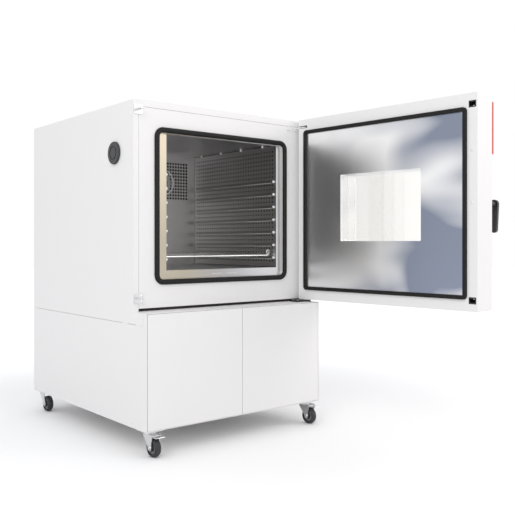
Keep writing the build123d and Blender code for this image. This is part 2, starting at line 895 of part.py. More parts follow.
def door_seal():
    """Square-sided black seal on the door's cavity side."""
    ring = seal_line(door_seal_width) - seal_line(0)
    solid = along_y(ring, (door_inner, door_inner + door_seal_height))
    crest = solid.faces().sort_by(Axis.Y)[-1]
    return swing(fillet(crest.edges(), 3))


def door_insulation():
    """Foam filling of the door, cut out for window, hinge blocks and latch rods."""
    edge = sheet
    outline = rectangle(around(half - edge), (door_low + edge, door_high - edge), door_edge_radius - sheet)
    y = (door_outer + sheet, door_inner - door_frame_sheet)
    foam = along_y(outline, y)
    foam -= along_y(window_outline(window_wall + fit), grown(y, 1))
    channel_x = (-half, latch_x + rack_outside + 2)
    foam -= block(channel_x, (bolt_y - 24, door_inner), grown((door_low, door_high), 1))
    foam -= rod_y(spindle_radius + 2, latch_x, (door_outer, bolt_y), handle_height)
    for z in hinge_block_levels():
        foam -= block(
            (hinge_x - hinge_reach - 1, half),
            (hinge_y - hinge_reach - 1, door_inner),
            grown(z, 1),
        )
    return swing(foam - hinge_slit_space())


def hinge_block_levels():
    """Levels of the lower and the upper hinge block."""
    low = door_low + sheet
    high = slit_z()[0] - fit
    return ((low, low + hinge_block), (high - hinge_block, high))


def door_bearings():
    """Plastic blocks in the door's hinge corners, bored for the hinge pins."""
    solids = []
    for z in hinge_block_levels():
        x = (hinge_x - hinge_reach, hinge_x + hinge_reach - 2)
        y = (hinge_y - hinge_reach, door_inner - door_frame_sheet)
        solid = block(x, y, z)
        bore = hinge_pin + shaft_clearance
        solids.append(solid - rod_z(bore, hinge_x, hinge_y, grown(z, 1)))
    return swing(group(*solids))


def window_frame():
    """Deep frame through the door round the window, with a rim outside."""
    y = (door_outer - window_rim_height, door_inner - sheet)
    sleeve = along_y(window_outline(window_wall - fit) - window_outline(0), y)
    rim = window_outline(window_wall + window_rim) - window_outline(0)
    return swing(sleeve + along_y(rim, (door_outer - window_rim_height, door_outer)))


def window_panes():
    """Insulating glass: an inner, a middle and an outer pane."""
    ends = (door_outer + pane_inset, door_inner - sheet - pane_inset - pane_thickness)
    solids = []
    for y in (ends[0], (ends[0] + ends[1]) / 2, ends[1]):
        solids.append(along_y(window_outline(-fit / 2), (y, y + pane_thickness)))
    return swing(group(*solids))


def accent_strip():
    """Plain coloured strip on the door's outer face, at its free edge."""
    face = rectangle((-half, -half + accent_width), (accent_low, accent_high), 3)
    solid = along_y(face, (door_outer - accent_proud, door_outer))
    solid = fillet(solid.faces().sort_by(Axis.Y)[0].edges(), 2.5)
    return swing(solid)


def panel_middle():
    """Height of the control panel's centre line."""
    return door_middle + window_height / 2 + window_wall + window_rim + panel_rise


def control_panel():
    """Control housing above the window, recessed for its screen and bored for its button."""
    z = panel_middle()
    face = rectangle(around(panel_width / 2), (z - panel_height / 2, z + panel_height / 2), 8)
    solid = along_y(face, (door_outer - panel_proud, door_outer))
    solid = fillet(solid.faces().sort_by(Axis.Y)[0].edges(), 3)
    solid -= along_y(screen_outline(0), (door_outer - panel_proud - 1, door_outer - panel_proud + screen_recess))
    bore = button_radius + button_clearance
    solid -= rod_y(bore, button_x(), (door_outer - panel_proud - 1, door_outer - 1), z)
    y = door_outer - panel_proud
    screen = along_y(screen_outline(0), (y + 0.5, y + screen_recess))
    return swing(group(solid, screen))


def screen_outline(grow):
    """The screen's outline at the left of the control panel."""
    left = -panel_width / 2 + (panel_height - screen_height) / 2
    z = panel_middle()
    return rectangle(
        (left - grow, left + screen_width + grow),
        (z - screen_height / 2 - grow, z + screen_height / 2 + grow),
        4,
    )


def button_x():
    """Place of the power button, midway between the screen and the panel's right edge."""
    left = -panel_width / 2 + (panel_height - screen_height) / 2 + screen_width
    return (left + panel_width / 2) / 2


def power_button():
    """Round push button with a dished face."""
    y = (door_outer - panel_proud - button_proud, door_outer - 1 - button_travel - fit)
    cap = rod_y(button_radius, button_x(), y, panel_middle())
    cap = fillet(cap.faces().sort_by(Axis.Y)[0].edges(), 1.2)
    dish = Pos(button_x(), y[0] - 24, panel_middle()) * Sphere(25)
    return swing(cap - dish)


def latch_boxes():
    """Black boxes in the door's free edge that take the catch tongues and the bolts."""
    solids = []
    for z in latch_heights:
        x = (latch_x - latch_box_width / 2 + fit, latch_x + latch_box_width / 2 - fit)
        levels = (z - latch_box_height / 2 + fit, z + latch_box_height / 2 - fit)
        y = (door_inner - latch_box_depth, door_inner)
        box = block(x, y, levels)
        mouth = (z - latch_mouth_height / 2, z + latch_mouth_height / 2)
        box -= block(grown(x, -latch_box_wall), (y[0] + latch_box_wall, y[1] + 1), mouth)
        solids.append(box - rod_z(bolt_radius + 0.6, latch_x, bolt_y, grown(levels, 1)))
    return swing(group(*solids))


def door_catches():
    """Angle brackets on the cabinet's left front corners, each with a holed tongue."""
    solids = []
    for z in latch_heights:
        x = (-half + 2.5, -half + 2.5 + catch_width)
        plate_z = (z - catch_height / 2, z + catch_height / 2)
        bracket = along_y(rectangle(x, plate_z, 3), (front - catch_thickness, front))
        tongue_x = (latch_x - tongue_width / 2, latch_x + tongue_width / 2)
        tongue_z = (z - tongue_thickness / 2, z + tongue_thickness / 2)
        tongue = along_z(rectangle(tongue_x, (front - tongue_reach, front), 4), tongue_z)
        tongue &= block(tongue_x, (front - tongue_reach, front - catch_thickness), tongue_z)
        hole = rod_z(bolt_radius + bolt_clear, latch_x, bolt_y, grown(tongue_z, 1))
        solids.append(bracket + tongue - hole)
    return group(*solids)


def hinge_bracket_top():
    """White angle bracket on the cabinet front whose lug reaches into the door's slit."""
    z_high = slit_z()[0] + (hinge_slit + hinge_plate) / 2
    lug_z = (z_high - hinge_plate, z_high)
    flange_x = (half - 5 - hinge_flange_width, half - 5)
    flange_z = (z_high - hinge_flange_height, z_high)
    solid = along_y(rectangle(flange_x, flange_z, 2), (front - hinge_flange_thickness, front))
    arm = rectangle((hinge_x - hinge_reach, hinge_x + hinge_reach), (hinge_y, front - hinge_flange_thickness))
    lug = along_z(arm, lug_z) + rod_z(hinge_reach, hinge_x, hinge_y, lug_z)
    return solid + lug - rod_z(hinge_pin, hinge_x, hinge_y, grown(lug_z, 1))


def hinge_bracket_bottom():
    """Black plate on the ledge that carries the lower hinge pin."""
    plate_z = (ledge_top, ledge_top + lower_plate)
    x = (hinge_x + hinge_reach - lower_plate_width, hinge_x + hinge_reach)
    plate = along_z(rectangle(x, (hinge_y - hinge_reach - 4, front - fit), 5), plate_z)
    return plate - rod_z(hinge_pin, hinge_x, hinge_y, grown(plate_z, 1))


def hinge_pins():
    """Steel hinge pins: the lower one has a shoulder that the door stands on."""
    low_z = ledge_top + lower_plate
    block_low, block_high = hinge_block_levels()
    lower = rod_z(hinge_pin, hinge_x, hinge_y, (ledge_top, block_low[1] - 3))
    lower += rod_z(hinge_pin + 6, hinge_x, hinge_y, (low_z, door_low - fit))
    lug_high = slit_z()[0] + (hinge_slit + hinge_plate) / 2
    upper = rod_z(hinge_pin, hinge_x, hinge_y, (block_high[0] + 3, lug_high))
    return group(lower, upper)


def gear_tooth(radii, half_widths):
    """One straight-sided tooth on the X axis, as a face through three radii."""
    points = [(r, w) for r, w in zip(radii, half_widths)]
    points += [(r, -w) for r, w in reversed(list(zip(radii, half_widths)))]
    return polygon(*points)


def tooth_half(depth):
    """Half the thickness of a tooth at a height above its pitch line."""
    at_pitch = math.pi * gear_module / 4 - gear_backlash / 2
    return at_pitch - depth * math.tan(math.radians(20))


def latch_pinion():
    """Spindle through the door with the pinion that drives both rack rods."""
    gear = Circle(root_radius)
    radii = (root_radius - 0.5, pitch_radius, tip_radius)
    widths = (tooth_half(-gear_dedendum), tooth_half(0), tooth_half(gear_addendum))
    step = 360 / gear_teeth
    for i in range(gear_teeth):
        gear += Rot(0, 0, (i + 0.5) * step) * gear_tooth(radii, widths)
    y = (bolt_y - gear_face / 2, bolt_y + gear_face / 2)
    solid = along_y(Pos(latch_x, handle_height) * gear, y)
    spindle_y = (door_outer - handle_proud + 4, door_inner - door_frame_sheet - 2)
    return swing(solid + rod_y(spindle_radius, latch_x, spindle_y, handle_height))


def latch_rod(sign):
    """Rack rod with a jogged end and a round-nosed bolt: sign 1 is the upper, -1 the lower."""
    pitch = math.pi * gear_module
    side = sign
    y = (bolt_y - gear_face / 2, bolt_y + gear_face / 2)
    bar_x = sorted((latch_x + side * rack_inside, latch_x + side * rack_outside))
    end = latch_heights[1] if sign > 0 else latch_heights[0]
    foot = handle_height - sign * 4.6 * pitch
    jog = end - sign * 34.0
    rod = block(bar_x, y, sorted((foot, jog)))
    for k in range(-4, 2):
        middle = handle_height + sign * k * pitch
        tooth = polygon(
            (latch_x + side * (rack_inside + 0.5), middle - tooth_half(-gear_dedendum)),
            (latch_x + side * (pitch_radius - gear_addendum), middle - tooth_half(gear_addendum)),
            (latch_x + side * (pitch_radius - gear_addendum), middle + tooth_half(gear_addendum)),
            (latch_x + side * (rack_inside + 0.5), middle + tooth_half(-gear_dedendum)),
        )
        rod += along_y(tooth, y)
    jog_x = sorted((latch_x - side * bolt_radius, latch_x + side * rack_outside))
    rod += block(jog_x, y, sorted((jog, jog - sign * 6)))
    nose = end - sign * (tongue_thickness / 2 + bolt_clear)
    bolt = rod_z(bolt_radius, latch_x, bolt_y, sorted((jog - sign * 3, nose)))
    tip = bolt.faces().sort_by(Axis.Z)[-1 if sign > 0 else 0]
    return swing(rod + fillet(tip.edges(), 2.5))


def handle_rose():
    """Round plate on the door's outer face behind the handle."""
    rose = rod_y(handle_hub + 2, latch_x, (door_outer - rose_height, door_outer), handle_height)
    rose = fillet(rose.faces().sort_by(Axis.Y)[0].edges(), 2)
    return swing(rose - rod_y(spindle_radius + 1, latch_x, (door_outer - 20, door_outer + 1), handle_height))


def handle_lever():
    """Black lever: a neck on the spindle and a rounded grip that hangs down."""
    y = (door_outer - handle_proud, door_outer - handle_proud + handle_bar)
    tip_z = -(handle_drop - handle_tip)
    outline = Circle(handle_hub) + Pos(0, tip_z) * Circle(handle_tip)
    lean = math.asin((handle_hub - handle_tip) / -tip_z)
    hub_side = (handle_hub * math.cos(lean), -handle_hub * math.sin(lean))
    tip_side = (handle_tip * math.cos(lean), tip_z - handle_tip * math.sin(lean))
    outline += polygon(hub_side, (-hub_side[0], hub_side[1]), (-tip_side[0], tip_side[1]), tip_side)
    grip = along_y(Pos(latch_x, handle_height) * outline, y)
    grip = fillet(grip.faces().sort_by(Axis.Y)[0].edges(), 4)
    neck = rod_y(handle_neck, latch_x, (y[1] - 1, door_outer - rose_height - fit), handle_height)
    lever = grip + neck
    return swing(lever - rod_y(spindle_radius, latch_x, (y[0] + 4, door_outer), handle_height))


def build():
    """All sub-parts by node name."""
    nodes = {
        "outer_casing": outer_casing(),
        "rear_panel": rear_panel(),
        "front_frame": front_frame(),
        "cabinet_insulation": cabinet_insulation(),
        "inner_liner": inner_liner(),
        "cavity_seal": cavity_seal(),
        "air_panels": air_panels(),
        "shelf_runners": shelf_runners(),
        "wire_shelf": wire_shelf(),
        "rear_baffle": rear_baffle(),
        "fan_inlet_rings": fan_inlet_rings(),
        "fan_wheel_left": fan_wheel(fan_places()[0]),
        "fan_wheel_right": fan_wheel(fan_places()[1]),
        "fan_motors": fan_motors(),
        "heater_coil": heater_coil(),
        "port_sleeve": port_sleeve(),
        "port_plug": port_plug(),
        "base_frame": pierce_side(pierce_side(base_frame(), -1), 1),
        "base_side_left": pierce_side(base_side(-1), -1),
        "base_side_right": pierce_side(base_side(1), 1),
        "base_ledge": base_ledge(),
        "base_rear_grille": pierce_back(base_rear_grille()),
        "control_box": control_box(),
        "gas_valve": gas_valve(),
        "mains_inlet": mains_inlet(),
        "cover_screws": cover_screws(),
        "castor_plates": castor_plates(),
        "door_shell": door_shell(),
        "door_inner_frame": door_inner_frame(),
        "door_inner_panel": door_inner_panel(),
        "door_seal": door_seal(),
        "door_insulation": door_insulation(),
        "door_bearings": door_bearings(),
        "window_frame": window_frame(),
        "window_panes": window_panes(),
        "accent_strip": accent_strip(),
        "control_panel": control_panel(),
        "power_button": power_button(),
        "latch_boxes": latch_boxes(),
        "door_catches": door_catches(),
        "hinge_bracket_top": hinge_bracket_top(),
        "hinge_bracket_bottom": hinge_bracket_bottom(),
        "hinge_pins": hinge_pins(),
        "latch_pinion": latch_pinion(),
        "latch_rod_upper": latch_rod(1),
        "latch_rod_lower": latch_rod(-1),
        "handle_rose": handle_rose(),
        "handle_lever": handle_lever(),
    }
    cover_edge = half - sheet - cover_gap
    nodes["base_front_left"] = base_front_cover((-cover_edge, cover_split - seam_gap))
    nodes["base_front_right"] = base_front_cover((cover_split + seam_gap, cover_edge))
    for sign, side in ((-1, "left"), (1, "right")):
        for end, y in castor_ys.items():
            x = sign * castor_x
            nodes[f"castor_fork_{end}_{side}"] = castor_fork(x, y, end == "front")
            nodes[f"castor_wheel_{end}_{side}"] = castor_wheel(x, y)
            if end == "front":
                nodes[f"brake_pedal_{side}"] = brake_pedal(x, y)
    return nodes


os.makedirs("parts", exist_ok=True)
for name, shape in build().items():
    export_step(shape, f"parts/{name}.step")
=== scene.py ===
import json
import math

import bmesh
import bpy
from mathutils import Matrix, Vector


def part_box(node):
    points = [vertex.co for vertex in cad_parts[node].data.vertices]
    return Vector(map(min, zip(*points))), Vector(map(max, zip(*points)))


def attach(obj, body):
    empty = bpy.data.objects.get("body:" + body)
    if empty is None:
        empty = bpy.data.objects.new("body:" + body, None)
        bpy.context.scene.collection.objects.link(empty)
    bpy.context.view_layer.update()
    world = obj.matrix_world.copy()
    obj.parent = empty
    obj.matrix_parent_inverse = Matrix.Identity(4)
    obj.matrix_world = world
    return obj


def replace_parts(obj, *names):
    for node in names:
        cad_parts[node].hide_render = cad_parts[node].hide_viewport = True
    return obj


# Looks of a free-standing incubator cabinet with its door standing open.
# Everything is in metres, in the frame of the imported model: X right, Y back, Z up.

# Camera, fitted to the photograph
CAMERA_PLACE = (-1.9168, -3.0006, 0.8448)
CAMERA_YAW = 39.3745
CAMERA_LENS = 50.745
CAMERA_SHIFT_UP = -0.0297

# World and floor: their colours as light on the object, and the floor's glow far from it
SKY_COLOUR = (0.965, 0.975, 1.0, 1.0)
SKY_ON_OBJECT = 0.86
WHITE = (1.0, 1.0, 1.0, 1.0)
FLOOR_COLOUR = (0.80, 0.80, 0.80, 1.0)
FLOOR_SIZE = 40.0
FLOOR_GLOW = 0.30
GLOW_STARTS = 1.0
GLOW_FULL = 2.8

# Fine skin of paint and rubber
SKIN_DETAIL = 2.0
SKIN_DEPTH = 0.0002

# Door steel: a painted reflection, a soft bluish drift in its colour; the drift's stretch and range, and where the
# painted blue reflection is full and ends
REFLECTION_STRETCH = (1.0, 1.6, 2.6)
REFLECTION_SCALE = 1.6
REFLECTION_BEND = 0.5
REFLECTION_RANGE = (0.36, 0.56)
REFLECTION_FULL_Y = -1.05
REFLECTION_ENDS_Y = -0.62

# Liner steel: a painted warm reflection on its flange towards the left, and painted shade darkening its walls
# inside the air ducts
FLANGE_STEEL = (0.68, 0.68, 0.69, 1.0)
WARM_REFLECTION = (0.47, 0.425, 0.34, 1.0)
DUCT_SHADE = (0.02, 0.02, 0.02, 1.0)
WARM_REFLECTION_FULL_X = -0.22
WARM_REFLECTION_ENDS_X = 0.12
FLANGE_BACK_Y = -0.4345
DUCT_START_X = 0.302
PLENUM_START_Y = 0.237
EDGE_FADE = 0.002

# Perforated sheets
HOLE_SIDES = 8
SHEET = 0.0012
PANEL_HOLE_RADIUS = 0.0044
PANEL_PITCH = (0.020, 0.01967)
PANEL_MARGIN = 0.013
PANEL_FRONT_GAP = 0.003
PANEL_BACK_GAP = 0.0005
PANEL_END_GAP = 0.003
DUCT_WIDTH = 0.018
PORT_PLACE = (-0.296, 1.2147)
PORT_RADIUS = 0.040
PORT_MARGIN = 0.015
PORT_BEZEL = 0.064
BEZEL_SHEET = 0.0016
BAFFLE_HOLE_RADIUS = 0.0062
BAFFLE_PITCH = (0.0165, 0.0165)
BAFFLE_FIELD_X = (-0.2586, 0.2586)
BAFFLE_FIELD_Z = (1.063, 1.269)

# Cavity seal and the liner's edge inside it, whose bright front ring is partly a painted highlight
SEAL_SIDES = (-0.3428, 0.3295)
SEAL_LEVELS = (0.6920, 1.2955)
SEAL_CORNER = 0.019
SEAL_WIDTH = 0.022
SEAL_STEPS = 14
SEAL_FULLNESS = 0.7
CORNER_STEPS = 8
HEM_GAP = 0.0006
HEM_THICKNESS = 0.0015
EDGE_STARTS = -0.001
EDGE_ENDS = 0.0025
FLANGE_DEPTH = 0.0120

# Ceiling studs, noses of the shelf runners, painted highlights along the runners' lower edges, shelf hook, and
# painted highlights in the drain slots
STUD_RADIUS = 0.0055
STUD_HEIGHT = 0.009
STUD_FROM_PANEL = 0.007
STUD_PLACES_Y = (-0.3435, -0.1765, -0.0105, 0.1595)
NUB_RADIUS = 0.0068
NUB_STRAIGHT = 0.003
NUB_HEIGHT = 0.006
NUB_TIP = 0.7
NUB_FROM_PANEL = 0.006
NUB_SIDES = 20
RUNNER_COUNT = 7
RUNNER_STEP = 0.059
RUNNER_DEPTH = 0.012
RUNNER_NOSE = 0.008
RUNNER_RISE = 0.0068
RUNNER_HIGHLIGHT_HEIGHT = 0.0024
RUNNER_HIGHLIGHT_WIDTH = 0.0008
HOOK_PLACE = (0.279, 0.799)
HOOK_RADIUS = 0.0105
HOOK_WIRE = 0.0024
HOOK_STEPS = 10
HOOK_SIDES = 32
HOOK_DIRECTION = (0.35, -1, 0)
SHELF_ROD_RADIUS = 0.004
# The drain slots hold bright bars as painted highlights.
DRAIN_OFFSET = 0.042
DRAIN_SIZE = (0.056, 0.0028)
DRAIN_DROP = 0.019
DRAIN_DEPTHS = (-0.0008, 0.0012)

# Small parts of the door, in places on the closed door
OPEN_ANGLE = math.radians(95.0)
CAP_PLACE = (-0.4405, -0.4605)
CAP_LEVELS = (0.9985, 1.203)
CAP_RADIUS = 0.007
CAP_HEIGHT = 0.003
SCREEN_SIDES = (-0.1008, 0.0488)
SCREEN_LEVELS = (1.2101, 1.3017)
SCREEN_DEPTH = -0.5862
SCREEN_SHEET = 0.0004

# Screws, placed from the edges of what they hold
SCREW_RADIUS = 0.004
SCREW_HEIGHT = 0.002
CATCH_SCREW_IN = 0.033
CATCH_SCREW_ENDS = (0.007, 0.032)
CATCH_FACE = 0.003
HINGE_SCREWS = (0.012, 0.034, 0.056)
HINGE_FACE = 0.004
BRACKET_SCREW_IN = 0.012
BACK_SCREWS_X = (-0.44, -0.147, 0.147, 0.44)
BACK_SCREW_LOW = 0.015
BACK_SCREW_HIGH = 0.02
BASE_SCREWS_X = (-0.44, 0.44)
BASE_SCREWS_Z = (0.12, 0.30, 0.50)

# Wheel cores: shares of the wheel's radius, their thickness, and their depth in the wheel
CORE_INNER = 0.40
CORE_OUTER = 0.68
CORE_BEVEL = 0.02
CORE_SHEET = 0.0012
CORE_RECESS = 0.0072

# Shading, turns and the sides of turned shapes
NO_TURN = Matrix.Identity(4)
SHARP_ANGLE = math.radians(35.0)
TURNED_SIDES = 32
RING_SIDES = 64
DOME = ((1.0, 0.0), (1.0, 0.45), (0.75, 0.85), (0.3, 1.0))

# Sockets of a Mix node set to colours
MIX_FACTOR = 0
MIX_FIRST = 6
MIX_SECOND = 7
MIX_RESULT = 2

# Looks of one even tone: colour, roughness, metallic, coat
EVEN_LOOKS = {
    "small_steel": ((0.86, 0.86, 0.85), 0.42, 0.35, 0.0),
    "bright_steel": ((0.90, 0.90, 0.90), 0.24, 1.0, 0.0),
    "motor_metal": ((0.42, 0.43, 0.45), 0.45, 1.0, 0.0),
    "fan_metal": ((0.55, 0.56, 0.58), 0.35, 1.0, 0.0),
    "black_metal": ((0.02, 0.02, 0.021), 0.4, 0.0, 0.0),
    "brass": ((0.62, 0.44, 0.17), 0.3, 1.0, 0.0),
    "fork_zinc": ((0.66, 0.66, 0.67), 0.3, 1.0, 0.0),
    "dark_silicone": ((0.035, 0.036, 0.04), 0.5, 0.0, 0.0),
    "wheel_black": ((0.025, 0.025, 0.027), 0.5, 0.0, 0.0),
    "wheel_core": ((0.16, 0.16, 0.17), 0.5, 0.0, 0.0),
    "black_plastic": ((0.018, 0.018, 0.02), 0.35, 0.0, 0.0),
    "grey_plastic": ((0.12, 0.125, 0.135), 0.45, 0.0, 0.0),
    "red_plastic": ((0.62, 0.03, 0.02), 0.3, 0.0, 0.3),
    # The foam is near black as painted shade: it shows only in dark gaps.
    "foam": ((0.055, 0.054, 0.052), 0.9, 0.0, 0.0),
    "screen_glass": ((0.01, 0.012, 0.016), 0.08, 0.0, 0.5),
}

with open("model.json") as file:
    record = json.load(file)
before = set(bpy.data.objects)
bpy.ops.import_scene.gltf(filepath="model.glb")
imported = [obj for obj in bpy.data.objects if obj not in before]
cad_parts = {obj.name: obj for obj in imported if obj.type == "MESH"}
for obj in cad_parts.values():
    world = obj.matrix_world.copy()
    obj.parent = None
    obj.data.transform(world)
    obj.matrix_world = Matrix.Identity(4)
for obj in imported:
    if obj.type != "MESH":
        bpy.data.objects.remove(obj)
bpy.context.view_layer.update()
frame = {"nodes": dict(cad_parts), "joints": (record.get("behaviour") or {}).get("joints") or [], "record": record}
nodes = frame["nodes"]


def principled(name, colour, roughness, metallic=0.0, coat=0.0):
    """A material whose shader sockets hold plain values."""
    material = bpy.data.materials.new(name)
    material.use_nodes = True
    shader = shader_of(material)
    shader.inputs["Base Color"].default_value = (*colour, 1.0)
    shader.inputs["Roughness"].default_value = roughness
    shader.inputs["Metallic"].default_value = metallic
    shader.inputs["Coat Weight"].default_value = coat
    return material


def shader_of(material):
    """The material's main shader."""
    return material.node_tree.nodes["Principled BSDF"]


def add_node(tree, kind, **inputs):
    """A node in a tree, with the named inputs set."""
    node = tree.nodes.new(kind)
    for name, value in inputs.items():
        node.inputs[name.replace("_", " ")].default_value = value
    return node


def object_place(tree):
    """A point's place in the object's own coordinates."""
    return add_node(tree, "ShaderNodeTexCoord").outputs["Object"]


def combine(tree, operation, first, second):
    """A math node on two values, each a number or a socket."""
    node = add_node(tree, "ShaderNodeMath")
    node.operation = operation
    for place, value in enumerate((first, second)):
        if isinstance(value, float):
            node.inputs[place].default_value = value
        else:
            tree.links.new(value, node.inputs[place])
    return node.outputs[0]


def spread(tree, value, source, target, kind="LINEAR"):
    """Takes a value from one range to another, and holds it beyond the ends."""
    node = add_node(
        tree, "ShaderNodeMapRange",
        From_Min=source[0], From_Max=source[1], To_Min=target[0], To_Max=target[1],
    )
    node.interpolation_type = kind
    tree.links.new(value, node.inputs["Value"])
    return node.outputs["Result"]


def fade(tree, value, full, none):
    """1 where a value is under one limit, falling to 0 at another."""
    return spread(tree, value, (full, none), (1.0, 0.0))


def blend_colours(tree, factor, first, second):
    """Mixes two colours by a factor, each a tuple or a socket."""
    mix = add_node(tree, "ShaderNodeMix")
    mix.data_type = "RGBA"
    tree.links.new(factor, mix.inputs[MIX_FACTOR])
    for place, colour in ((MIX_FIRST, first), (MIX_SECOND, second)):
        if isinstance(colour, tuple):
            mix.inputs[place].default_value = colour
        else:
            tree.links.new(colour, mix.inputs[place])
    return mix.outputs[MIX_RESULT]


def stretched_noise(tree, stretch, **settings):
    """Noise in the object's own coordinates, stretched along its axes."""
    mapping = add_node(tree, "ShaderNodeMapping", Scale=stretch)
    noise = add_node(tree, "ShaderNodeTexNoise", **settings)
    tree.links.new(object_place(tree), mapping.inputs["Vector"])
    tree.links.new(mapping.outputs["Vector"], noise.inputs["Vector"])
    return noise.outputs["Fac"]


def add_skin(material, scale, strength):
    """Feeds a very fine noise into the shader's normal."""
    tree = material.node_tree
    noise = add_node(tree, "ShaderNodeTexNoise", Scale=scale, Detail=SKIN_DETAIL)
    bump = add_node(tree, "ShaderNodeBump", Strength=strength, Distance=SKIN_DEPTH)
    tree.links.new(noise.outputs["Fac"], bump.inputs["Height"])
    tree.links.new(bump.outputs["Normal"], shader_of(material).inputs["Normal"])


def powder_paint():
    """White powder-coated sheet."""
    material = principled("white_paint", (0.86, 0.852, 0.85), 0.38)
    add_skin(material, 900.0, 0.04)
    return material


def rubber():
    """Black seal rubber with little gloss."""
    material = principled("seal_rubber", (0.009, 0.009, 0.0085), 0.55)
    shader_of(material).inputs["Specular IOR Level"].default_value = 0.25
    add_skin(material, 700.0, 0.05)
    return material


def window_glass():
    """Clear pane."""
    material = principled("window_glass", (1.0, 0.998, 0.99), 0.01)
    shader = shader_of(material)
    shader.inputs["Transmission Weight"].default_value = 1.0
    shader.inputs["IOR"].default_value = 1.45
    return material


def brushed(name, colour, roughness, stretch):
    """Brushed stainless sheet, whose roughness varies along a stretched noise."""
    material = principled(name, colour, roughness[0], metallic=1.0)
    tree = material.node_tree
    grain = stretched_noise(tree, stretch, Scale=60.0, Detail=4.0)
    tree.links.new(spread(tree, grain, (0.0, 1.0), roughness), shader_of(material).inputs["Roughness"])
    return material


def door_steel():
    """Polished sheet with a painted reflection: its colour turns bluish towards the door's free edge, in a soft
    drift.
    """
    light = (0.94, 0.94, 0.945)
    reflection_blue = (0.25, 0.28, 0.36)
    material = principled("door_steel", light, 0.30, metallic=1.0)
    tree = material.node_tree
    # Painted reflection: a soft bluish drift in the colour, strongest towards the door's free edge.
    noise = stretched_noise(tree, REFLECTION_STRETCH, Scale=REFLECTION_SCALE, Detail=1.0, Distortion=REFLECTION_BEND)
    reflection_drift = spread(tree, noise, REFLECTION_RANGE, (0.0, 1.0))
    split = add_node(tree, "ShaderNodeSeparateXYZ")
    tree.links.new(object_place(tree), split.inputs["Vector"])
    reflection_outward = fade(tree, split.outputs["Y"], REFLECTION_FULL_Y, REFLECTION_ENDS_Y)
    colour = blend_colours(tree, combine(tree, "MULTIPLY", reflection_outward, reflection_drift), (*light, 1.0), (*reflection_blue, 1.0))
    tree.links.new(colour, shader_of(material).inputs["Base Color"])
    return material


def liner_steel():
    """Stainless liner with a painted warm reflection on its flange towards the left, and painted shade on its
    walls inside the air ducts and the plenum.
    """
    material = principled("liner_steel", (0.58, 0.58, 0.585), 0.30, metallic=1.0)
    tree = material.node_tree
    split = add_node(tree, "ShaderNodeSeparateXYZ")
    tree.links.new(object_place(tree), split.inputs["Vector"])
    across = split.outputs["X"]
    inward = split.outputs["Y"]
    # Painted warm reflection on the flange's left part.
    reflection_leftward = fade(tree, across, WARM_REFLECTION_FULL_X, WARM_REFLECTION_ENDS_X)
    flange = fade(tree, inward, FLANGE_BACK_Y, FLANGE_BACK_Y + EDGE_FADE)
    # Painted shade on the walls inside the ducts and the plenum, but not on the flange.
    left_duct = fade(tree, across, -DUCT_START_X - EDGE_FADE, -DUCT_START_X)
    left_of_duct = fade(tree, across, DUCT_START_X, DUCT_START_X + EDGE_FADE)
    before_plenum = fade(tree, inward, PLENUM_START_Y, PLENUM_START_Y + EDGE_FADE)
    right_duct = combine(tree, "SUBTRACT", 1.0, left_of_duct)
    plenum = combine(tree, "SUBTRACT", 1.0, before_plenum)
    duct_shade_mask = combine(tree, "MAXIMUM", combine(tree, "MAXIMUM", left_duct, right_duct), plenum)
    duct_shade_mask = combine(tree, "MULTIPLY", duct_shade_mask, combine(tree, "SUBTRACT", 1.0, flange))
    warm_reflection = combine(tree, "MULTIPLY", reflection_leftward, flange)
    open_walls = blend_colours(tree, warm_reflection, FLANGE_STEEL, WARM_REFLECTION)
    colour = blend_colours(tree, duct_shade_mask, open_walls, DUCT_SHADE)
    tree.links.new(colour, shader_of(material).inputs["Base Color"])
    return material


looks = {name: principled(name, *values) for name, values in EVEN_LOOKS.items()}
looks.update({
    "white_paint": powder_paint(),
    "seal_rubber": rubber(),
    "window_glass": window_glass(),
    "stainless": brushed("cavity_steel", (0.55, 0.54, 0.535), (0.34, 0.42), (1.0, 1.0, 14.0)),
    "runner_steel": brushed("runner_steel", (0.34, 0.335, 0.33), (0.36, 0.42), (1.0, 14.0, 1.0)),
    "liner": liner_steel(),
    "door_steel": door_steel(),
})


def repaint(names, look):
    """Gives CAD nodes one of the looks."""
    for name in names:
        for slot in nodes[name].material_slots:
            slot.material = looks[look]


def dress_nodes():
    """Every CAD node takes the look of its material slot, and some take another."""
    for part in frame["record"]["subparts"]:
        repaint([part["node"]], part["material_slot"])
    # The door's inner panel and window frame take the steel with a painted reflection.
    repaint(["door_inner_panel", "window_frame"], "door_steel")
    repaint([name for name in nodes if name.startswith(("castor_fork", "brake_pedal"))], "fork_zinc")
    repaint(["castor_plates", "door_catches"], "fork_zinc")
    # The liner takes the steel with a painted warm reflection and painted shade in its ducts.
    repaint(["inner_liner"], "liner")
    repaint(["shelf_runners"], "runner_steel")
    repaint(["fan_inlet_rings"], "small_steel")


def make_piece(name, build, look, body, smooth=False):
    """An object with a look and a body, its mesh made by a function that fills a bmesh."""
    mesh = bpy.data.meshes.new(name)
    work = bmesh.new()
    build(work)
    work.normal_update()
    work.to_mesh(mesh)
    work.free()
    if smooth:
        for polygon in mesh.polygons:
            polygon.use_smooth = True
        mesh.set_sharp_from_angle(angle=SHARP_ANGLE)
    piece = bpy.data.objects.new(name, mesh)
    bpy.context.scene.collection.objects.link(piece)
    mesh.materials.append(looks[look])
    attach(piece, body)
    return piece


